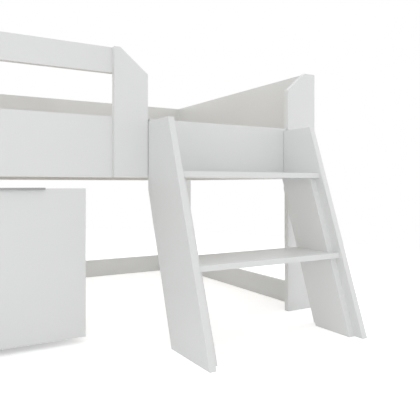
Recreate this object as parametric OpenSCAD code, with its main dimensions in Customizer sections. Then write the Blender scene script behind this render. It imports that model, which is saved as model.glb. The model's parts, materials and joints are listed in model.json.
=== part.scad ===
// Low loft bed with a two-step ladder and a roll-out storage box.
// X runs along the bed, with the ladder towards +X. Y runs from the ladder to the wall. Z is up.
// The origin is on the floor, under the middle of the whole outline.

/* [Mattress] */
// Length of the mattress that the bed takes
mattress_l = 2000; // [1800:10:2100]
// Width of the mattress that the bed takes
mattress_w = 900; // [800:10:1000]
// Room between the mattress and the end panels, at each end
gap_l = 4; // [1:0.5:10]
// Room between the mattress and the side boards, on each side
gap_w = 8; // [1:0.5:10]

/* [Boards] */
// Thickness of each lacquered board
board_t = 18; // [16:1:20]
// Height of the posts, guard rails and end panels above the floor
total_h = 1070; // [1020:5:1150]
// Height of the lower edge of the side boards and end panels
side_z = 592; // [560:2:620]
// Height of a side board, edge to edge
side_h = 224; // [200:2:250]
// Height of a guard rail, edge to edge
guard_h = 93; // [80:1:120]
// Height of a rail at the floor, edge to edge
low_h = 100; // [80:2:130]

/* [Legs and posts] */
// Width of the board of a leg that faces along the bed's side
leg_w = 150; // [120:2:180]
// Width of the board of a leg that faces the bed's end
leg_side_w = 95; // [80:1:110]
// Width of a middle post
post_w = 142; // [130:2:170]
// Clear width of the way in, between the front post and the right leg
entry_w = 728; // [600:1:800]
// How far the front guard rail laps behind the front post
guard_lap = 22; // [18:1:40]
// Height of the cut corner on the front post
post_cut_h = 90; // [60:2:120]
// Width of the cut corner on a front leg
leg_cut_w = 104; // [80:2:120]
// Height of the cut corner on a front leg
leg_cut_h = 84; // [60:1:120]

/* [Slatted base] */
// Height of the top of the slats above the floor
slat_top_z = 650; // [640:2:680]
// Number of slats
slat_n = 14; // [10:1:16]
// Width of a slat
slat_w = 70; // [50:2:80]
// Thickness of a slat
slat_t = 18; // [14:1:20]
// Width of a slat cleat, out from the side board
cleat_w = 25; // [20:1:40]
// Height of a slat cleat
cleat_h = 20; // [16:1:34]
// Width of the webbing that spaces the slats
strap_w = 20; // [15:1:40]
// Thickness of the webbing
strap_t = 1.5; // [1:0.5:3]

/* [Ladder] */
// How far the ladder's foot stands out from the legs' faces
ladder_reach = 341; // [280:1:400]
// How far the ladder's top stands out from the legs' faces
ladder_top_reach = 126; // [110:1:160]
// Drop from the side board's top edge to the ladder's top
ladder_drop = 12; // [4:1:40]
// Width of a ladder side, square to its slope
stringer_w = 188; // [170:2:200]
// Thickness of a ladder side
stringer_t = 25; // [22:1:30]
// Gap between a ladder side and the post or leg beside it
ladder_gap = 1.5; // [0.5:0.5:4]
// Height of the lower tread's top
tread1_z = 302; // [280:1:320]
// Height of the upper tread's top
tread2_z = 612; // [600:1:630]
// Thickness of a tread
tread_t = 20; // [18:1:24]
// Depth of a tread, front to back
tread_d = 170; // [150:2:172]
// Distance from a ladder side's front edge back to the tread
tread_inset = 8; // [4:1:18]
// Distance from a ladder side's front edge back to the lower tread bearer
bearer1_inset = 29; // [24:1:50]
// Distance from a ladder side's front edge back to the upper tread bearer
bearer2_inset = 32; // [24:1:50]
// Thickness of a tread bearer
bearer_t = 30; // [18:1:40]
// Distance from a ladder side's back edge forward to the tread bearer
bearer_back = 30; // [10:1:40]

/* [Storage box] */
// Width of the box's front
box_w = 700; // [560:10:760]
// Depth of the box with its front
box_d = 600; // [450:10:800]
// Height of the lower edge of the box's front above the floor
front_z = 22; // [16:1:30]
// Height of the box's front, edge to edge
front_h = 530; // [400:5:545]
// Distance from the box to the middle post, along the bed
box_gap = 106; // [20:1:160]
// Thickness of the box's inner boards
box_t = 16; // [12:1:18]
// How far the box's sides lie in from the ends of its front
box_in = 8; // [2:1:30]
// How far the box's sides end below the top of its front
box_drop = 12; // [4:1:60]
// Length of the pull on the box's front
pull_l = 390; // [120:10:500]
// Depth of the pull, front to back
pull_d = 26; // [22:1:32]
// Height of the pull's lip
pull_h = 7; // [6:0.5:14]
// Thickness of the pull's metal
pull_t = 3; // [2:0.5:4]

/* [Castors] */
// Diameter of a castor wheel
wheel_d = 40; // [34:1:46]
// Width of a castor wheel
wheel_w = 18; // [14:1:22]
// Diameter of a castor's axle
axle_d = 6; // [5:0.5:8]
// Room between a wheel and the plate above it
wheel_room = 8; // [6:1:10]
// Thickness of a castor's steel
castor_t = 2; // [1.5:0.5:3]
// Length of a castor's plate
plate_l = 58; // [50:1:70]

/* [Fittings] */
// Diameter of a frame screw
screw_d = 5; // [4:0.5:6]
// Diameter of a frame screw's head
head_d = 9; // [8:0.5:11]
// Depth of a frame screw's sunk head
head_h = 2.5; // [1.5:0.5:4]
// Depth of a screw's point in the last board
screw_bite = 11; // [8:1:13]
// Diameter of a wood dowel
dowel_d = 8; // [6:1:9]
// Depth of a dowel in each board
dowel_bite = 11; // [8:1:13]
// Diameter of a ladder bolt
bolt_d = 6; // [5:1:7]
// Length of a ladder bolt inside the ladder side
bolt_bite = 45; // [35:1:60]
// Diameter of a barrel nut
nut_d = 10; // [9:1:12]

/* [Hidden] */

$fn = 32;
white = [0.87, 0.875, 0.87];
pine = [0.82, 0.68, 0.48];
zinc = [0.62, 0.63, 0.65];
dark = [0.32, 0.33, 0.34];
black = [0.12, 0.12, 0.12];
eps = 0.01;

// Hole sizes round what goes in them
hole_d = screw_d + 0.4;
dowel_hole_d = dowel_d + 0.2;
bolt_hole_d = bolt_d + 0.6;
nut_hole_d = nut_d + 0.3;
axle_hole_d = axle_d + 0.16;
hole_end = 1;

// Plan of the frame, from the posts' faces in
bed_w = mattress_w + 2 * gap_w + 4 * board_t;
bed_l = mattress_l + 2 * gap_l + 6 * board_t;
y_front = (ladder_reach - bed_w) / 2;
y_in1 = y_front + board_t;
y_in2 = y_front + 2 * board_t;
y_back = y_front + bed_w;
y_out1 = y_back - board_t;
y_out2 = y_back - 2 * board_t;
y_mid = (y_front + y_back) / 2;
x_end = bed_l / 2;
x_in1 = x_end - board_t;
x_in2 = x_end - 2 * board_t;
x_in3 = x_end - 3 * board_t;
x_leg = x_in1 - leg_w;
x_post1 = x_leg - entry_w;
x_post0 = x_post1 - post_w;
post_cut_w = post_w - guard_lap - 2;

// Levels
side_top = side_z + side_h;
guard_z = total_h - guard_h;
slat_z = slat_top_z - slat_t;

// Screw places, as X and Z on the long sides and Y and Z on the ends
row_in = 40;
leg_row_in = 30;
bolt_up = 14;
bolt_down = 46;
leg_x = (x_leg + x_in3) / 2;
side_rows = [slat_top_z + row_in / 2, side_top - row_in];
function pair(c, half) = [c - half, c + half];
function grid(xs, zs) = [for (x = xs) for (z = zs) [x, z]];
leg_xs = pair(leg_x, (x_in3 - x_leg) / 2 - leg_row_in);
guard_rows = pair(guard_z + guard_h / 2, guard_h / 4);
low_rows = pair(low_h / 2, low_h / 4);
post_xs = pair((x_post0 + x_post1) / 2, post_w / 2 - row_in);
left_xs = [for (x = leg_xs) -x];
front_side_holes = concat(grid(post_xs, side_rows), grid(leg_xs, side_rows), grid(left_xs, side_rows));
front_guard_holes = concat(grid([x_post0 + guard_lap / 2], guard_rows), grid([-leg_x], guard_rows));
mid_xs = pair(0, post_w / 2 - row_in);
back_side_holes = concat(grid(mid_xs, side_rows), grid(leg_xs, side_rows), grid(left_xs, side_rows));
back_guard_holes = concat(grid([0], guard_rows), grid([leg_x], guard_rows), grid([-leg_x], guard_rows));
back_low_holes = concat(grid([leg_x], low_rows), grid([-leg_x], low_rows));
lining_y = (y_in1 + y_front + leg_side_w) / 2;
lining_far_y = y_front + y_back - lining_y;
panel_rows = [for (k = [0:3]) side_z + row_in + k * (total_h - side_z - 2 * row_in) / 3];
end_ys = [lining_y, lining_far_y];
end_holes = grid(end_ys, concat(panel_rows, low_rows));
dowel_rows = [for (k = [0:4]) 2 * row_in + k * (total_h - 4 * row_in) / 4];
side_screw_l = board_t + screw_bite;
end_screw_l = 2 * board_t + screw_bite;

// Ladder: Y of the front and back edges of its sides at a height
ladder_top = side_top - ladder_drop;
lean = atan((ladder_reach - ladder_top_reach) / ladder_top);
stringer_run = stringer_w / cos(lean);
function front_y(z) = y_front - ladder_reach + z * tan(lean);
bend_z = (ladder_reach - stringer_run) / tan(lean);
x_lad0 = x_post1 + ladder_gap;
x_lad1 = x_leg - ladder_gap;
x_tread0 = x_lad0 + stringer_t;
x_tread1 = x_lad1 - stringer_t;
bolt_rows = [slat_top_z + bolt_up, side_top - bolt_down];
lad_xs = [x_lad0 + stringer_t / 2, x_lad1 - stringer_t / 2];
spacer_d = 16;
nut_in = 5;
nut_hole_l = stringer_t - nut_in / 2;
bearer_dowel_half = 40;
tread_dowel_in = 45;
tread_dowel_more = 15;

// Slats and webbing
slat_pitch = 2 * x_in3 / slat_n;
function slat_x(k) = -x_in3 + (k + 0.5) * slat_pitch;
slat_y0 = y_in2 + 1;
slat_y1 = y_out2 - 1;
strap_ys = pair(y_mid, mattress_w / 4);
slat_screw_d = 4;
slat_screw_l = slat_t + cleat_h / 2;
slat_head_d = 7.5;
slat_head_h = 2;
slat_sink = 3;
slat_screw_ys = [y_in2 + cleat_w / 2, y_out2 - cleat_w / 2];
cleat_l = 2 * x_in3 - 20;

// Storage box
box_x1 = x_post0 - box_gap;
box_x0 = box_x1 - box_w;
box_mid = (box_x0 + box_x1) / 2;
box_y0 = y_in1;
box_y1 = box_y0 + box_d;
front_top = front_z + front_h;
base_z = wheel_d + wheel_room + castor_t;
side_x0 = box_x0 + box_in;
side_x1 = box_x1 - box_in;
side_y0 = box_y0 + board_t;
inner_x0 = side_x0 + box_t;
inner_x1 = side_x1 - box_t;
box_side_h = front_top - box_drop - base_z;
box_row_in = 60;
box_screw_d = 4;
box_screw_bite = 30;
box_screw_l = box_t + box_screw_bite;
box_head_d = 7;
box_head_h = 2;
castor_in = 70;
castor_xs = [side_x0 + castor_in, side_x1 - castor_in];
castor_ys = [side_y0 + castor_in, box_y1 - castor_in];
plate_more = 6;
fork_gap = 1;
fork_w = wheel_w + 2 * fork_gap + 2 * castor_t;
axle_l = fork_w + 3;
tyre_ease = 2;
tyre_t = 4.5;
hub_t = 5;
web_in = 3;

// A box given by its two corners
module block(a, b) { translate(a) cube(b - a); }

// A cylinder from a point, along X or Y, towards plus (1) or minus (-1)
module rod_x(p, d, l, way) { translate(p) rotate([0, way * 90, 0]) cylinder(d = d, h = l); }
module rod_y(p, d, l, way) { translate(p) rotate([-way * 90, 0, 0]) cylinder(d = d, h = l); }

// A screw along Z with its sunk head up at the origin, and the bore for it
module screw(d, head, head_l, l) {
    translate([0, 0, -l]) cylinder(d = d, h = l);
    translate([0, 0, -head_l]) cylinder(d1 = d, d2 = head, h = head_l);
}
module screw_bore(d, head, head_l, l, room) {
    translate([0, 0, -l - hole_end]) cylinder(d = d + room, h = l + hole_end + eps);
    translate([0, 0, -head_l]) cylinder(d1 = d + room, d2 = head + room, h = head_l + eps);
}

// Screws through two boards along Y: the head is sunk in the face at y, the point goes the given way
module along_y(p, way) { translate(p) rotate([way * 90, 0, 0]) children(); }
module along_x(p, way) { translate(p) rotate([0, -way * 90, 0]) children(); }
module screws_y(holes, y, way, l) {
    for (h = holes) along_y([h[0], y, h[1]], way) screw(screw_d, head_d, head_h, l);
}
module bores_y(holes, y, way, l) {
    for (h = holes) along_y([h[0], y, h[1]], way) screw_bore(screw_d, head_d, head_h, l, hole_d - screw_d);
}

// End screws go in from the outer face of each end
module end_screw_set(holes, side) {
    for (h = holes) along_x([side * x_end, h[0], h[1]], -side) screw(screw_d, head_d, head_h, end_screw_l);
}
module end_bores(holes, side) {
    for (h = holes)
        along_x([side * x_end, h[0], h[1]], -side)
            screw_bore(screw_d, head_d, head_h, end_screw_l, hole_d - screw_d);
}

// Dowels between a leg's two boards lie along X across the joint at x_in1
function leg_dowel_y(back) = back ? y_back - board_t / 2 : y_front + board_t / 2;
module leg_dowel_set(side, back, d, more) {
    for (z = dowel_rows)
        rod_x([side * (x_in1 - dowel_bite - more), leg_dowel_y(back), z], d, 2 * (dowel_bite + more), side);
}

// A board across the bed at either end, from its inner face and two corners in Y and Z
module end_block(side, x_inner, a, b) {
    x0 = side > 0 ? x_inner : -x_inner - board_t;
    block([x0, a[0], a[1]], [x0 + board_t, b[0], b[1]]);
}

// Boards along the sides
module front_side_board() {
    color(white) difference() {
        block([-x_in3, y_in1, side_z], [x_in3, y_in2, side_top]);
        bores_y(front_side_holes, y_in2, -1, side_screw_l);
        for (x = lad_xs) for (z = bolt_rows) rod_y([x, y_in1 - eps, z], bolt_hole_d, board_t + 2 * eps, 1);
    }
}

module back_side_board() {
    color(white) difference() {
        block([-x_in3, y_out2, side_z], [x_in3, y_out1, side_top]);
        bores_y(back_side_holes, y_back, -1, side_screw_l);
    }
}

module front_guard_rail() {
    color(white) difference() {
        block([-x_in3, y_in1, guard_z], [x_post0 + guard_lap, y_in2, total_h]);
        bores_y(front_guard_holes, y_in2, -1, side_screw_l);
    }
}

module back_guard_rail() {
    color(white) difference() {
        block([-x_in3, y_out2, guard_z], [x_in3, y_out1, total_h]);
        bores_y(back_guard_holes, y_back, -1, side_screw_l);
    }
}

module back_low_rail() {
    color(white) difference() {
        block([-x_in3, y_out2, 0], [x_in3, y_out1, low_h]);
        bores_y(back_low_holes, y_back, -1, side_screw_l);
    }
}

// Posts: the front one has its upper corner cut on the side of the way in
module cut_board(x0, x1, y, z, cut_x, cut_w, cut_h) {
    way = cut_x == x1 ? -1 : 1;
    translate([0, y + board_t, 0]) rotate([90, 0, 0]) linear_extrude(board_t) difference() {
        translate([x0, z]) square([x1 - x0, total_h - z]);
        polygon([
            [cut_x + way * cut_w, total_h],
            [cut_x, total_h - cut_h],
            [cut_x - way, total_h - cut_h],
            [cut_x - way, total_h + 1],
            [cut_x + way * cut_w, total_h + 1]
        ]);
    }
}

module front_mid_post() {
    color(white) difference() {
        cut_board(x_post0, x_post1, y_front, side_z, x_post1, post_cut_w, post_cut_h);
        bores_y(front_side_holes, y_in2, -1, side_screw_l);
        bores_y(front_guard_holes, y_in2, -1, side_screw_l);
    }
}

module back_mid_post() {
    color(white) difference() {
        block([-post_w / 2, y_out1, side_z], [post_w / 2, y_back, total_h]);
        bores_y(back_side_holes, y_back, -1, side_screw_l);
        bores_y(back_guard_holes, y_back, -1, side_screw_l);
    }
}

// Legs: a board along the side, a board at the end and a lining behind it
module leg_board(side, back) {
    x_far = side * x_in1;
    x_near = side * x_leg;
    color(white) difference() {
        if (back) {
            block([min(x_far, x_near), y_out1, 0], [max(x_far, x_near), y_back, total_h]);
        } else {
            cut_board(min(x_far, x_near), max(x_far, x_near), y_front, 0, x_near, leg_cut_w, leg_cut_h);
        }
        if (back) {
            bores_y(back_side_holes, y_back, -1, side_screw_l);
            bores_y(back_guard_holes, y_back, -1, side_screw_l);
            bores_y(back_low_holes, y_back, -1, side_screw_l);
        } else {
            bores_y(front_side_holes, y_in2, -1, side_screw_l);
            bores_y(front_guard_holes, y_in2, -1, side_screw_l);
        }
        leg_dowel_set(side, back, dowel_hole_d, hole_end);
    }
}

module leg_side(side, back) {
    y0 = back ? y_back - leg_side_w : y_front;
    color(white) difference() {
        end_block(side, x_in1, [y0, 0], [y0 + leg_side_w, total_h]);
        end_bores(end_holes, side);
        leg_dowel_set(side, back, dowel_hole_d, hole_end);
    }
}

module leg_lining(side, back) {
    y0 = back ? y_back - leg_side_w : y_in1;
    y1 = back ? y_out1 : y_front + leg_side_w;
    color(white) difference() {
        end_block(side, x_in2, [y0, 0], [y1, total_h]);
        end_bores(end_holes, side);
    }
}

// Ends: a panel between the side boards, and a rail at the floor
module end_panel(side) {
    color(white) difference() {
        end_block(side, x_in3, [y_in1, side_z], [y_out1, total_h]);
        end_bores(end_holes, side);
    }
}

module end_low_rail(side) {
    color(white) difference() {
        end_block(side, x_in3, [y_in1, 0], [y_out1, low_h]);
        end_bores(end_holes, side);
    }
}

// Slatted base
module slat_cleat(y0) {
    color(pine) difference() {
        block([-cleat_l / 2, y0, slat_z - cleat_h], [cleat_l / 2, y0 + cleat_w, slat_z]);
        slat_screw_holes();
    }
}

module slat_screw_holes() {
    l = slat_screw_l + hole_end;
    for (k = [0:slat_n - 1]) for (y = slat_screw_ys)
        translate([slat_x(k), y, slat_top_z + eps - l]) cylinder(d = slat_screw_d + 0.4, h = l);
}

module slats() {
    color(pine) difference() {
        for (k = [0:slat_n - 1])
            block([slat_x(k) - slat_w / 2, slat_y0, slat_z], [slat_x(k) + slat_w / 2, slat_y1, slat_top_z]);
        slat_screw_holes();
        for (k = [0:slat_n - 1]) for (y = slat_screw_ys)
            translate([slat_x(k), y, slat_top_z - slat_sink])
                cylinder(d = slat_head_d + 1, h = slat_sink + eps);
    }
}

module slat_straps() {
    color(dark) for (y = strap_ys)
        block([slat_x(0) - slat_w / 2, y - strap_w / 2, slat_z - strap_t],
              [slat_x(slat_n - 1) + slat_w / 2, y + strap_w / 2, slat_z]);
}

module slat_screws() {
    color(zinc) for (k = [0:slat_n - 1]) for (y = slat_screw_ys) {
        z = slat_top_z - slat_sink;
        shank = slat_screw_l - slat_sink;
        translate([slat_x(k), y, z - shank]) cylinder(d = slat_screw_d, h = shank);
        translate([slat_x(k), y, z]) cylinder(d = slat_head_d, h = slat_head_h);
    }
}

// Fixings of the frame
module frame_screws() {
    color(zinc) {
        screws_y(front_side_holes, y_in2, -1, side_screw_l);
        screws_y(front_guard_holes, y_in2, -1, side_screw_l);
        screws_y(back_side_holes, y_back, -1, side_screw_l);
        screws_y(back_guard_holes, y_back, -1, side_screw_l);
        screws_y(back_low_holes, y_back, -1, side_screw_l);
    }
}

module end_screws() {
    color(zinc) {
        end_screw_set(end_holes, 1);
        end_screw_set(end_holes, -1);
    }
}

module leg_dowels() {
    color(pine) for (side = [-1, 1]) for (back = [false, true]) leg_dowel_set(side, back, dowel_d, 0);
}

// Ladder sides: a sloped outline whose back turns upright against the bed
module ladder_profile() {
    polygon([
        [front_y(0), 0],
        [front_y(0) + stringer_run, 0],
        [y_front, bend_z],
        [y_front, ladder_top],
        [front_y(ladder_top), ladder_top]
    ]);
}

// Turns an outline in Y and Z into a board that starts at x
module board_at(x, t) { translate([x, 0, 0]) rotate([90, 0, 90]) linear_extrude(t) children(); }

module ladder_side(x) {
    color(white) difference() {
        board_at(x, stringer_t) ladder_profile();
        for (z = bolt_rows) {
            rod_y([x + stringer_t / 2, y_front + eps, z], bolt_hole_d, bolt_bite + 2, -1);
            rod_x([x + stringer_t + eps, y_front - bolt_bite + nut_d, z], nut_hole_d, nut_hole_l, -1);
        }
        bearer_dowel_set(dowel_hole_d, hole_end);
        tread_dowel_set(dowel_hole_d, hole_end);
    }
}

// Tread bearers: boards parallel to the ladder side, one below each tread
module bearer_profile(z0, z1, inset) {
    polygon([
        [front_y(z0) + inset, z0],
        [front_y(z0) + stringer_run - bearer_back, z0],
        [front_y(z1) + stringer_run - bearer_back, z1],
        [front_y(z1) + inset, z1]
    ]);
}

module bearer(x, span) {
    color(white) difference() {
        board_at(x, bearer_t) bearer_profile(span[0], span[1], span[2]);
        bearer_dowel_set(dowel_hole_d, hole_end);
    }
}

// Treads stand on the bearers, between the ladder sides
module tread(z) {
    y0 = front_y(z) + tread_inset;
    color(white) difference() {
        block([x_tread0, y0, z - tread_t], [x_tread1, min(y0 + tread_d, y_front), z]);
        tread_dowel_set(dowel_hole_d, hole_end);
    }
}

bearer_spans = [[0, tread1_z - tread_t, bearer1_inset], [tread1_z, tread2_z - tread_t, bearer2_inset]];
module bearer_dowel_set(d, more) {
    for (s = bearer_spans) for (f = [0.2, 0.8]) {
        z = s[0] + f * (s[1] - s[0]);
        for (y = pair(front_y(z) + (s[2] + stringer_run - bearer_back) / 2, bearer_dowel_half)) {
            rod_x([x_tread0 - dowel_bite - more, y, z], d, 2 * (dowel_bite + more), 1);
            rod_x([x_tread1 - dowel_bite - more, y, z], d, 2 * (dowel_bite + more), 1);
        }
    }
}

module tread_dowel_set(d, more) {
    l = 2 * (dowel_bite + more) + tread_dowel_more;
    for (z = [tread1_z, tread2_z])
        for (y = pair(front_y(z) + tread_inset + tread_d / 2, tread_d / 2 - tread_dowel_in)) {
            rod_x([x_tread0 - dowel_bite - more, y, z - tread_t / 2], d, l, 1);
            rod_x([x_tread1 + dowel_bite + more, y, z - tread_t / 2], d, l, -1);
        }
}

module bearer_dowels() { color(pine) bearer_dowel_set(dowel_d, 0); }
module tread_dowels() { color(pine) tread_dowel_set(dowel_d, 0); }

// Ladder bolts pass the side board and a spacer, into barrel nuts
module ladder_bolts() {
    color(zinc) for (x = lad_xs) for (z = bolt_rows) {
        rod_y([x, y_in2, z], bolt_d, 2 * board_t + bolt_bite, -1);
        rod_y([x, y_in2, z], 2 * bolt_d, head_h, 1);
    }
}

module ladder_spacers() {
    color(white) for (x = lad_xs) for (z = bolt_rows) difference() {
        rod_y([x, y_front, z], spacer_d, board_t, 1);
        rod_y([x, y_front - eps, z], bolt_hole_d, board_t + 2 * eps, 1);
    }
}

module barrel_nuts() {
    color(zinc) for (x = lad_xs) for (z = bolt_rows) difference() {
        rod_x([x + stringer_t / 2 - 1, y_front - bolt_bite + nut_d, z], nut_d, stringer_t - nut_in, -1);
        rod_y([x, y_front, z], bolt_d + 0.1, bolt_bite + 2, -1);
    }
}

// Storage box
module box_front() {
    color(white) difference() {
        block([box_x0, box_y0, front_z], [box_x1, side_y0, front_top]);
        box_dowel_set(dowel_hole_d, hole_end);
    }
}

module box_side(x0) {
    color(white) difference() {
        block([x0, side_y0, base_z], [x0 + box_t, box_y1, base_z + box_side_h]);
        box_bores();
        box_dowel_set(dowel_hole_d, hole_end);
    }
}

module box_back() {
    color(white) difference() {
        block([inner_x0, box_y1 - box_t, base_z + box_t], [inner_x1, box_y1, base_z + box_side_h]);
        box_bores();
    }
}

module box_base() {
    color(white) difference() {
        block([inner_x0, side_y0, base_z], [inner_x1, box_y1, base_z + box_t]);
        box_bores();
    }
}

// Dowels between the sides' front edges and the front
box_dowel_zs = [for (k = [0:3]) base_z + box_row_in / 2 + k * (box_side_h - box_row_in) / 3];
module box_dowel_set(d, more) {
    for (x = [side_x0 + box_t / 2, side_x1 - box_t / 2]) for (z = box_dowel_zs)
        rod_y([x, side_y0 - dowel_bite - more, z], d, 2 * (dowel_bite + more), 1);
}
module box_dowels() { color(pine) box_dowel_set(dowel_d, 0); }

// Places of the box's screws: along the base, and up the back's ends
box_spots = concat(
    [for (k = [0:3]) [side_y0 + box_row_in + k * (box_d - board_t - 2 * box_row_in) / 3, base_z + box_t / 2]],
    [for (k = [0:3]) [box_y1 - box_t / 2, base_z + box_row_in + k * (box_side_h - 2 * box_row_in) / 3]]
);
module box_bores() {
    for (p = box_spots) for (side = [-1, 1])
        along_x([side > 0 ? side_x1 : side_x0, p[0], p[1]], -side)
            screw_bore(box_screw_d, box_head_d, box_head_h, box_screw_l, hole_d - screw_d);
}

module box_screws() {
    color(zinc) for (p = box_spots) for (side = [-1, 1])
        along_x([side > 0 ? side_x1 : side_x0, p[0], p[1]], -side)
            screw(box_screw_d, box_head_d, box_head_h, box_screw_l);
}

// The pull lies on the front's top edge and its lip hangs free in front
module box_pull() {
    lip = pull_d - board_t + 4;
    color(dark) board_at(box_mid - pull_l / 2, pull_l) polygon([
        [box_y0 - lip, front_top + pull_t],
        [box_y0 - lip, front_top + pull_t - pull_h],
        [box_y0 - lip + pull_t, front_top + pull_t - pull_h],
        [box_y0 - lip + pull_t, front_top],
        [box_y0 - lip + pull_d, front_top],
        [box_y0 - lip + pull_d, front_top + pull_t]
    ]);
}

// Castors: a bent steel fork, an axle and a wheel
module castor_forks() {
    drop = wheel_d / 2 + wheel_room;
    color(zinc) for (x = castor_xs) for (y = castor_ys) translate([x, y, base_z]) difference() {
        union() {
            translate([-plate_l / 2, -fork_w / 2 - plate_more, -castor_t])
                cube([plate_l, fork_w + 2 * plate_more, castor_t]);
            for (s = [-1, 1]) translate([s * (fork_w / 2 - castor_t / 2) - castor_t / 2, 0, 0]) cheek(drop);
        }
        rod_x([-fork_w, 0, -castor_t - drop], axle_hole_d, 2 * fork_w, 1);
    }
}

// One cheek of a fork, wide at the plate and round at the axle
module cheek(drop) {
    eye = axle_d / 2 + 4;
    board_at(0, castor_t) {
        polygon([
            [-2 * eye, -castor_t],
            [2 * eye, -castor_t],
            [eye, -castor_t - drop],
            [-eye, -castor_t - drop]
        ]);
        translate([0, -castor_t - drop]) circle(r = eye);
    }
}

module castor_axles() {
    color(zinc) for (x = castor_xs) for (y = castor_ys)
        rod_x([x - axle_l / 2, y, wheel_d / 2], axle_d, axle_l, 1);
}

// A wheel has a hub, a thin web sunk in from both faces and a tyre with eased edges
module wheel(x, y) {
    r = wheel_d / 2;
    hub_r = axle_d / 2 + hub_t;
    color(black) translate([x - wheel_w / 2, y, r]) rotate([0, 90, 0]) rotate_extrude($fn = 64)
        polygon([
            [axle_hole_d / 2, 0],
            [hub_r, 0],
            [hub_r, web_in],
            [r - tyre_t, web_in],
            [r - tyre_t, 0],
            [r - tyre_ease, 0],
            [r, tyre_ease],
            [r, wheel_w - tyre_ease],
            [r - tyre_ease, wheel_w],
            [r - tyre_t, wheel_w],
            [r - tyre_t, wheel_w - web_in],
            [hub_r, wheel_w - web_in],
            [hub_r, wheel_w],
            [axle_hole_d / 2, wheel_w]
        ]);
}

front_side_board();
back_side_board();
front_guard_rail();
back_guard_rail();
front_mid_post();
back_mid_post();
end_panel(-1);  // left_end_panel
end_panel(1);  // right_end_panel
leg_board(-1, false);  // front_left_leg_board
leg_board(1, false);  // front_right_leg_board
leg_board(-1, true);  // back_left_leg_board
leg_board(1, true);  // back_right_leg_board
leg_side(-1, false);  // front_left_leg_side
leg_side(1, false);  // front_right_leg_side
leg_side(-1, true);  // back_left_leg_side
leg_side(1, true);  // back_right_leg_side
leg_lining(-1, false);  // front_left_leg_lining
leg_lining(1, false);  // front_right_leg_lining
leg_lining(-1, true);  // back_left_leg_lining
leg_lining(1, true);  // back_right_leg_lining
back_low_rail();
end_low_rail(-1);  // left_low_rail
end_low_rail(1);  // right_low_rail
slat_cleat(y_in2);  // front_slat_cleat
slat_cleat(y_out2 - cleat_w);  // back_slat_cleat
slats();
slat_straps();
slat_screws();
frame_screws();
end_screws();
leg_dowels();
ladder_side(x_lad0);  // ladder_left_side
ladder_side(x_tread1);  // ladder_right_side
bearer(x_tread0, bearer_spans[0]);  // left_lower_bearer
bearer(x_tread1 - bearer_t, bearer_spans[0]);  // right_lower_bearer
bearer(x_tread0, bearer_spans[1]);  // left_upper_bearer
bearer(x_tread1 - bearer_t, bearer_spans[1]);  // right_upper_bearer
tread(tread1_z);  // lower_tread
tread(tread2_z);  // upper_tread
bearer_dowels();
tread_dowels();
ladder_bolts();
ladder_spacers();
barrel_nuts();
box_front();
box_side(side_x0);  // box_left_side
box_side(side_x1 - box_t);  // box_right_side
box_back();
box_base();
box_pull();
box_screws();
box_dowels();
castor_forks();
castor_axles();
wheel(castor_xs[0], castor_ys[0]);  // front_left_wheel
wheel(castor_xs[1], castor_ys[0]);  // front_right_wheel
wheel(castor_xs[0], castor_ys[1]);  // back_left_wheel
wheel(castor_xs[1], castor_ys[1]);  // back_right_wheel
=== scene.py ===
"""A low loft bed of white lacquered boards, with a ladder and a roll-out box, in plain studio light."""

import json
from math import radians

import bmesh
import bpy
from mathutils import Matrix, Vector


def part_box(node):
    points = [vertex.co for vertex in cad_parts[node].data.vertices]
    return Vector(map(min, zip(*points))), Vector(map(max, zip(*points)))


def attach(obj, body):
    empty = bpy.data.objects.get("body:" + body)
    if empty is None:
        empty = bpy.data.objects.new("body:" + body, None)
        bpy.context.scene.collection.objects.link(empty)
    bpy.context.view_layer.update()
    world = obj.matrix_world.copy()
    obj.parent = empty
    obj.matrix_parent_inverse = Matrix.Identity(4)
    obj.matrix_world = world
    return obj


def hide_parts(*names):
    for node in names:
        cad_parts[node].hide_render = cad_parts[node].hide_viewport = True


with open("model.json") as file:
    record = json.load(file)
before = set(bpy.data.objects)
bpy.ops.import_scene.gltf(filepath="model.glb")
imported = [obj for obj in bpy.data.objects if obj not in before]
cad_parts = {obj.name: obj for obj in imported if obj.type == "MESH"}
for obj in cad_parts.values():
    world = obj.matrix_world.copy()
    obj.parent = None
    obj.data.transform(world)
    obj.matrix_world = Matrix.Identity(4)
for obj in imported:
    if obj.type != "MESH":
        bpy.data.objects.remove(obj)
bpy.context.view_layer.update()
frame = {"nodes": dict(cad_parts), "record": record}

# Finishes, as linear colours
WHITE = (0.735, 0.742, 0.735)
PINE_LIGHT = (0.66, 0.53, 0.36)
PINE_DARK = (0.44, 0.29, 0.155)
ZINC = (0.50, 0.51, 0.53)
PULL_GREY = (0.30, 0.30, 0.305)
WEBBING = (0.035, 0.035, 0.038)
TYRE = (0.022, 0.022, 0.024)

# Scale of the textures along X, Y and Z: the smaller, the longer the grain that way
PINE_RINGS = (26.0, 1.1, 26.0)
PINE_FIBRE = (900.0, 9.0, 900.0)
PINE_BOARD = (7.0, 0.02, 0.5)
PULL_BRUSH = (14.0, 2600.0, 2600.0)

# The ranges that hold most of a noise and of a wave
NOISE_CORE = (0.3, 0.7)
RINGS_CORE = (0.15, 0.9)

# A colour mix node's sockets by number, because their names repeat for each kind of value
MIX_FACTOR, MIX_A, MIX_B, MIX_RESULT = 0, 6, 7, 2

# Eased edges: bevel widths in metres by finish, and the angles that count as flat and as an edge
EASE = {"white_lacquer": 0.0018, "pine": 0.0025, "grey_metal": 0.0005}
EASE_SEGMENTS = 3
FLAT_ANGLE = radians(1)
EDGE_ANGLE = radians(32)

# The board behind the ladder, in metres: below the side board's top, behind the ladder, and
# short of the ladder's outer faces
ENTRY_DROP = 0.002
ENTRY_GAP = 0.001
ENTRY_SHORT = 0.008

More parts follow.
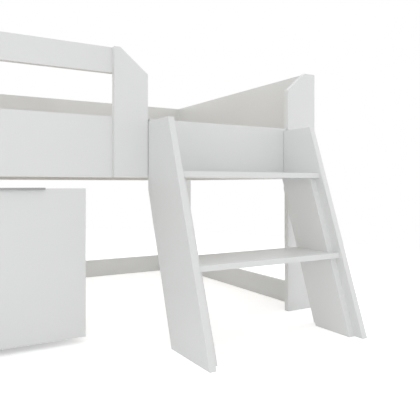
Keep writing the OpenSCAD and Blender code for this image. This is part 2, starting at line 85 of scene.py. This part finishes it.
# The photograph's camera: level, with its axis left of the picture's middle, and CAMERA_AHEAD
# metres in front of the middle post's face
FOCAL_PX = 409.1
FRAME_PX = 420
AXIS_PX = (78.0, 184.1)
CAMERA_YAW = radians(22.63)
CAMERA_AHEAD = 1.3221
CAMERA_X = -0.6748
CAMERA_Z = 0.5674
SENSOR_MM = 36.0

# The world's even light, and the lamps: place and aim in metres, size in metres, power in watts,
# colour
WORLD_LIGHT = 0.70
NEUTRAL = (1.0, 1.0, 1.0)
SKY = (0.90, 0.96, 1.0)
LAMPS = {
    "key": ((-2.3, -5.0, 1.35), (0.3, 0.0, 0.55), 3.4, 18.0, NEUTRAL),
    "left": ((-6.0, -0.3, 1.6), (0.0, 0.0, 0.5), 3.0, 10.0, NEUTRAL),
    "left_front": ((-5.0, -3.0, 0.9), (0.0, 0.0, 0.5), 2.0, 26.0, NEUTRAL),
    "front_low": ((0.4, -6.0, 0.5), (0.4, 0.0, 0.5), 1.0, 14.0, NEUTRAL),
    "front_high": ((0.4, -5.0, 3.5), (0.4, 0.0, 0.5), 3.0, 6.0, NEUTRAL),
    "top": ((0.0, 0.0, 5.0), (0.0, 0.0, 0.5), 4.0, 55.0, SKY),
    "right": ((6.0, -0.5, 1.6), (0.0, 0.0, 0.5), 3.0, 85.0, NEUTRAL),
    "back": ((0.0, 6.0, 1.8), (0.0, 0.0, 0.5), 3.0, 105.0, NEUTRAL),
}

# The floor: its width in metres, its white, its lift for the rays that see it, and the distance
# from the middle in metres over which it fades into the backdrop
FLOOR_SIZE = 60
FLOOR_WHITE = 0.96
FLOOR_LIFT = 0.36
FLOOR_FADE = (1.7, 3.4)
PURE_WHITE = (1, 1, 1, 1)


def socket(node, name, value):
    node.inputs[name].default_value = value


def tint(colour, factor):
    return tuple(channel * factor for channel in colour)


class Shader:
    """A material's node tree, built a few nodes at a time."""

    def __init__(self, name):
        self.material = bpy.data.materials.new(name)
        self.material.use_nodes = True
        self.nodes = self.material.node_tree.nodes
        self.links = self.material.node_tree.links
        self.bsdf = self.nodes["Principled BSDF"]
        self.coords = self.nodes.new("ShaderNodeTexCoord").outputs["Object"]

    def link(self, source, target):
        self.links.new(source, target)

    def mapping(self, scale):
        node = self.nodes.new("ShaderNodeMapping")
        socket(node, "Scale", scale)
        self.link(self.coords, node.inputs["Vector"])
        return node.outputs["Vector"]

    def noise(self, vector, scale, detail, rough=0.5):
        node = self.nodes.new("ShaderNodeTexNoise")
        socket(node, "Scale", scale)
        socket(node, "Detail", detail)
        socket(node, "Roughness", rough)
        self.link(vector, node.inputs["Vector"])
        return node.outputs["Fac"]

    def wave(self, vector, scale, axis="X", warp=0.0, detail=2.0):
        node = self.nodes.new("ShaderNodeTexWave")
        node.bands_direction = axis
        socket(node, "Scale", scale)
        socket(node, "Distortion", warp)
        socket(node, "Detail", detail)
        self.link(vector, node.inputs["Vector"])
        return node.outputs["Fac"]

    def span(self, value, low=0.0, high=1.0, core=(0.0, 1.0)):
        """The value's core range spread over low to high, and held at them outside it."""
        node = self.nodes.new("ShaderNodeMapRange")
        for name, number in zip(("From Min", "From Max", "To Min", "To Max"), (*core, low, high)):
            socket(node, name, number)
        self.link(value, node.inputs["Value"])
        return node.outputs["Result"]

    def times(self, a, b):
        """The product of a socket and a socket or a number."""
        node = self.nodes.new("ShaderNodeMath")
        node.operation = "MULTIPLY"
        self.link(a, node.inputs[0])
        if isinstance(b, float):
            node.inputs[1].default_value = b
        else:
            self.link(b, node.inputs[1])
        return node.outputs["Value"]

    def mix(self, factor, a, b):
        node = self.nodes.new("ShaderNodeMix")
        node.data_type = "RGBA"
        for index, colour in ((MIX_A, a), (MIX_B, b)):
            if isinstance(colour, tuple):
                node.inputs[index].default_value = (*colour, 1)
            else:
                self.link(colour, node.inputs[index])
        self.link(factor, node.inputs[MIX_FACTOR])
        return node.outputs[MIX_RESULT]

    def colour(self, value):
        self.link(value, self.bsdf.inputs["Base Color"])

    def roughness(self, value, low, high):
        self.link(self.span(value, low, high), self.bsdf.inputs["Roughness"])

    def bump(self, value, height):
        node = self.nodes.new("ShaderNodeBump")
        socket(node, "Distance", height)
        self.link(value, node.inputs["Height"])
        self.link(node.outputs["Normal"], self.bsdf.inputs["Normal"])


def white_lacquer():
    """Sprayed satin lacquer: even white, with a fine orange peel and faint handling haze."""
    s = Shader("white_lacquer")
    haze = s.noise(s.coords, scale=3.0, detail=3.0)
    cloud = s.noise(s.coords, scale=14.0, detail=4.0)
    peel = s.noise(s.coords, scale=420.0, detail=1.0)
    s.colour(s.mix(s.span(haze, core=NOISE_CORE), tint(WHITE, 0.988), WHITE))
    s.roughness(cloud, low=0.36, high=0.46)
    s.bump(peel, height=0.00004)
    return s.material


def pine():
    """Planed pine: long grain along Y, drifting growth rings, fine fibres, uneven tone."""
    s = Shader("pine")
    rings = s.wave(s.mapping(PINE_RINGS), scale=1.0, warp=7.0, detail=3.0)
    fibre = s.noise(s.mapping(PINE_FIBRE), scale=1.0, detail=3.0)
    board = s.noise(s.mapping(PINE_BOARD), scale=1.0, detail=0.0)
    ringed = s.mix(s.span(rings, core=RINGS_CORE), PINE_LIGHT, PINE_DARK)
    pale = s.mix(s.span(fibre, low=0.45, core=NOISE_CORE), tint(PINE_LIGHT, 1.08), ringed)
    s.colour(s.mix(s.span(board, high=0.55, core=NOISE_CORE), pale, tint(PINE_LIGHT, 0.80)))
    s.roughness(fibre, low=0.55, high=0.72)
    s.bump(fibre, height=0.00012)
    return s.material


def webbing():
    """Woven ribbon: fine ribs across, crossed by the warp."""
    s = Shader("webbing")
    ribs = s.wave(s.coords, scale=330.0)
    warp = s.wave(s.coords, scale=200.0, axis="Y")
    weave = s.times(ribs, warp)
    s.colour(s.mix(weave, tint(WEBBING, 0.7), tint(WEBBING, 1.6)))
    socket(s.bsdf, "Roughness", 0.85)
    s.bump(weave, height=0.0003)
    return s.material


def zinc_steel():
    """Bright zinc plate, with the faint mottling of the plating bath."""
    s = Shader("zinc_steel")
    spangle = s.noise(s.coords, scale=260.0, detail=4.0, rough=0.6)
    s.colour(s.mix(s.span(spangle, core=NOISE_CORE), tint(ZINC, 0.86), tint(ZINC, 1.1)))
    s.roughness(spangle, low=0.26, high=0.42)
    socket(s.bsdf, "Metallic", 1.0)
    s.bump(spangle, height=0.00005)
    return s.material


def grey_metal():
    """Anodised grey aluminium, brushed along the pull."""
    s = Shader("grey_metal")
    brush = s.noise(s.mapping(PULL_BRUSH), scale=1.0, detail=3.0, rough=0.6)
    s.colour(s.mix(brush, tint(PULL_GREY, 0.82), tint(PULL_GREY, 1.15)))
    s.roughness(brush, low=0.32, high=0.5)
    socket(s.bsdf, "Metallic", 0.9)
    s.bump(brush, height=0.00003)
    return s.material


def wheel_plastic():
    """Moulded plastic with a fine eroded grain."""
    s = Shader("wheel_plastic")
    pits = s.noise(s.coords, scale=900.0, detail=2.0)
    s.colour(s.mix(pits, tint(TYRE, 0.85), tint(TYRE, 1.2)))
    s.roughness(pits, low=0.45, high=0.62)
    s.bump(pits, height=0.00006)
    return s.material


MAKERS = {
    "white_lacquer": white_lacquer,
    "pine": pine,
    "webbing": webbing,
    "zinc_steel": zinc_steel,
    "grey_metal": grey_metal,
    "wheel_plastic": wheel_plastic,
}


def soften(node, width):
    """Eases a node's edges: flat triangles are joined first, so the bevel runs clean."""
    join = node.modifiers.new("join_flats", "DECIMATE")
    join.decimate_type = "DISSOLVE"
    join.angle_limit = FLAT_ANGLE
    ease = node.modifiers.new("eased_edges", "BEVEL")
    ease.width = width
    ease.segments = EASE_SEGMENTS
    ease.limit_method = "ANGLE"
    ease.angle_limit = EDGE_ANGLE


def make_entry_board(finish):
    """The board between the ladder's upright ends and the side board, level with the posts."""
    left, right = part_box("ladder_left_side"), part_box("ladder_right_side")
    side_low, side_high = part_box("front_side_board")
    mesh = bpy.data.meshes.new("entry_board")
    shape = bmesh.new()
    bmesh.ops.create_cube(shape, size=1.0)
    low = Vector((left[0].x + ENTRY_SHORT, left[1].y + ENTRY_GAP, side_low.z))
    high = Vector((right[1].x - ENTRY_SHORT, side_low.y, side_high.z - ENTRY_DROP))
    for corner in shape.verts:
        corner.co = Vector(low[k] if corner.co[k] < 0 else high[k] for k in range(3))
    shape.to_mesh(mesh)
    shape.free()
    mesh.materials.append(finish)
    entry = bpy.data.objects.new("entry_board", mesh)
    bpy.context.scene.collection.objects.link(entry)
    soften(entry, EASE["white_lacquer"])
    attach(entry, "bed")
    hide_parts("ladder_spacers")


def dress_nodes():
    """Gives every CAD node its finish, and puts a board in place of the ladder's spacers."""
    finishes = {}
    for part in frame["record"]["subparts"]:
        slot = part["material_slot"]
        if part["node"] == "ladder_spacers":
            continue
        if slot not in finishes:
            finishes[slot] = MAKERS[slot]()
        node = frame["nodes"][part["node"]]
        node.data.materials.clear()
        node.data.materials.append(finishes[slot])
        if slot in EASE and not part["node"].endswith("dowels"):
            soften(node, EASE[slot])
    make_entry_board(finishes["white_lacquer"])


def seen_directly(nodes, links):
    """1 for a camera, mirror or see-through ray, and 0 for a ray that lights a surface."""
    path = nodes.new("ShaderNodeLightPath")
    total = path.outputs["Is Camera Ray"]
    for name in ("Is Glossy Ray", "Is Transmission Ray"):
        largest = nodes.new("ShaderNodeMath")
        largest.operation = "MAXIMUM"
        links.new(total, largest.inputs[0])
        links.new(path.outputs[name], largest.inputs[1])
        total = largest.outputs[0]
    return total


def make_world():
    """An even light all round, seen directly as a pure white backdrop."""
    world = bpy.data.worlds.new("studio")
    bpy.context.scene.world = world
    world.use_nodes = True
    nodes, links = world.node_tree.nodes, world.node_tree.links
    light = nodes["Background"]
    socket(light, "Color", PURE_WHITE)
    socket(light, "Strength", WORLD_LIGHT)
    backdrop = nodes.new("ShaderNodeBackground")
    socket(backdrop, "Color", PURE_WHITE)
    socket(backdrop, "Strength", 1.0)
    mix = nodes.new("ShaderNodeMixShader")
    links.new(seen_directly(nodes, links), mix.inputs[0])
    links.new(light.outputs[0], mix.inputs[1])
    links.new(backdrop.outputs[0], mix.inputs[2])
    links.new(mix.outputs[0], nodes["World Output"].inputs["Surface"])


def make_floor():
    """White floor that keeps the bed's shadow and fades into the white backdrop away from it."""
    bpy.ops.mesh.primitive_plane_add(size=FLOOR_SIZE)
    floor = bpy.context.object
    floor.name = "floor"
    s = Shader("floor_white")
    socket(s.bsdf, "Base Color", (FLOOR_WHITE, FLOOR_WHITE, FLOOR_WHITE, 1))
    socket(s.bsdf, "Roughness", 1.0)
    socket(s.bsdf, "Specular IOR Level", 0.0)
    socket(s.bsdf, "Emission Color", PURE_WHITE)
    seen = seen_directly(s.nodes, s.links)
    s.link(s.times(seen, FLOOR_LIFT), s.bsdf.inputs["Emission Strength"])
    away = s.nodes.new("ShaderNodeVectorMath")
    away.operation = "LENGTH"
    s.link(s.coords, away.inputs[0])
    far = s.span(away.outputs["Value"], core=FLOOR_FADE)
    backdrop = s.nodes.new("ShaderNodeEmission")
    socket(backdrop, "Color", PURE_WHITE)
    socket(backdrop, "Strength", 1.0)
    blend = s.nodes.new("ShaderNodeMixShader")
    s.link(s.times(seen, far), blend.inputs[0])
    s.link(s.bsdf.outputs[0], blend.inputs[1])
    s.link(backdrop.outputs[0], blend.inputs[2])
    s.link(blend.outputs[0], s.nodes["Material Output"].inputs["Surface"])
    floor.data.materials.append(s.material)


def make_lamps():
    for name, (place, aim, size, power, colour) in LAMPS.items():
        lamp = bpy.data.lights.new(name, "AREA")
        lamp.shape = "DISK"
        lamp.size = size
        lamp.energy = power
        lamp.color = colour
        holder = bpy.data.objects.new(name, lamp)
        holder.location = place
        facing = (Vector(aim) - Vector(place)).to_track_quat("-Z", "Y")
        holder.rotation_euler = facing.to_euler()
        holder.visible_camera = False
        bpy.context.scene.collection.objects.link(holder)


def make_camera():
    lens = bpy.data.cameras.new("camera")
    lens.sensor_width = SENSOR_MM
    lens.lens = FOCAL_PX / FRAME_PX * SENSOR_MM
    lens.shift_x = (FRAME_PX / 2 - AXIS_PX[0]) / FRAME_PX
    lens.shift_y = (AXIS_PX[1] - FRAME_PX / 2) / FRAME_PX
    camera = bpy.data.objects.new("camera", lens)
    post_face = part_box("front_mid_post")[0].y
    camera.location = (CAMERA_X, post_face - CAMERA_AHEAD, CAMERA_Z)
    camera.rotation_euler = (radians(90), 0, -CAMERA_YAW)
    bpy.context.scene.collection.objects.link(camera)
    bpy.context.scene.camera = camera


make_camera()
make_world()
make_floor()
make_lamps()
bpy.context.scene.view_settings.view_transform = "Standard"
dress_nodes()
